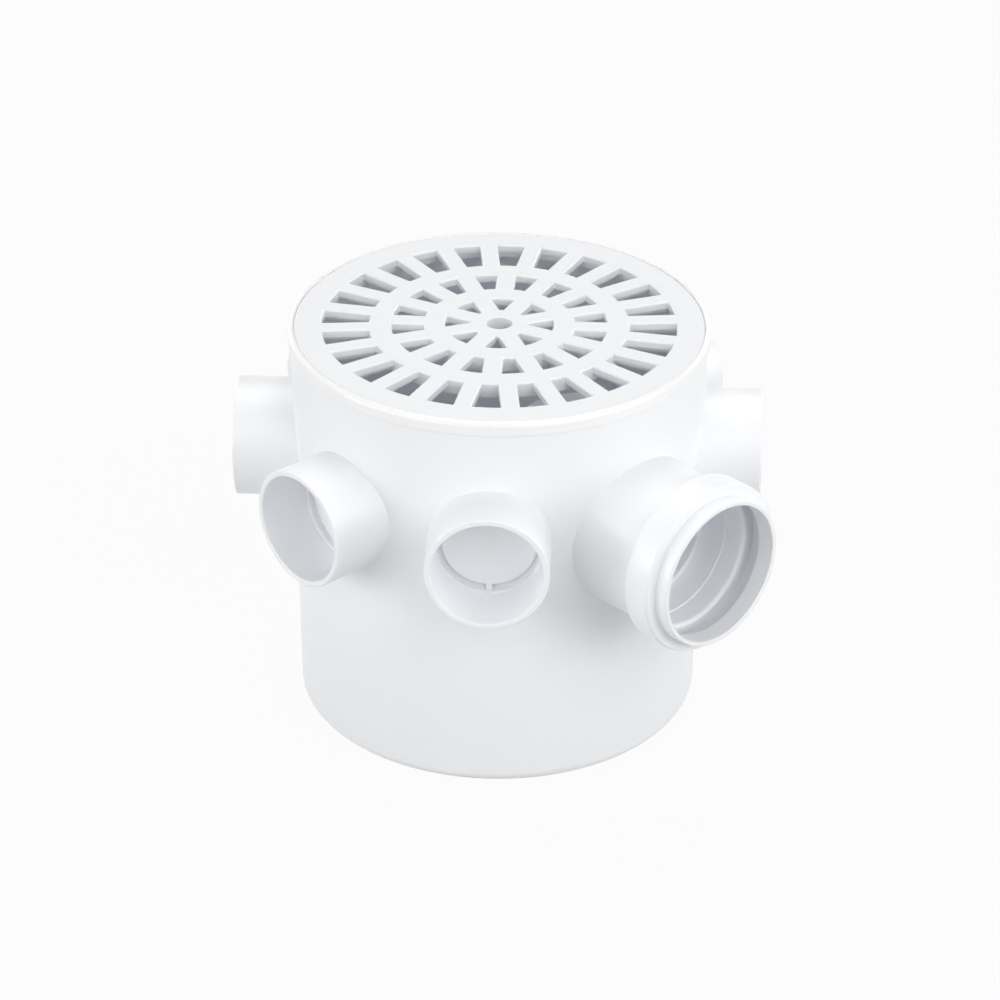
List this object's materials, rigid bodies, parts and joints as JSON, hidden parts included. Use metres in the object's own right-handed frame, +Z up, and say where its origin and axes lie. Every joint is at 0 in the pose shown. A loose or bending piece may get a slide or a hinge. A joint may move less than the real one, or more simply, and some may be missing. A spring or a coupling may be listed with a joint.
{
  "type": "gully trap",
  "caption": "Round floor gully with a water seal, closed inlet sockets, a ring-seal outlet and a slotted lift-out grate.",
  "frame": {"origin": "centre of the flat base of the pot, on the pot's axis", "axes": "+Z up through the grate, +X along the outlet socket, out of its mouth"},
  "size_m": [0.2154, 0.196, 0.1533],
  "materials": {
    "body_pvc": "smooth moulded white PVC, satin gloss",
    "frame_plastic": "smooth moulded white plastic, satin gloss",
    "grate_plastic": "smooth moulded white plastic, satin",
    "plug_plastic": "smooth moulded white plastic, satin",
    "seal_rubber": "moulded black rubber"
  },
  "bodies": {
    "root": {"body": "body_pvc", "grate_frame": "frame_plastic", "grate": "grate_plastic", "siphon_tube": "body_pvc", "cleanout_plug": "plug_plastic", "plug_seal": "seal_rubber"}
  },
  "joints": []
}
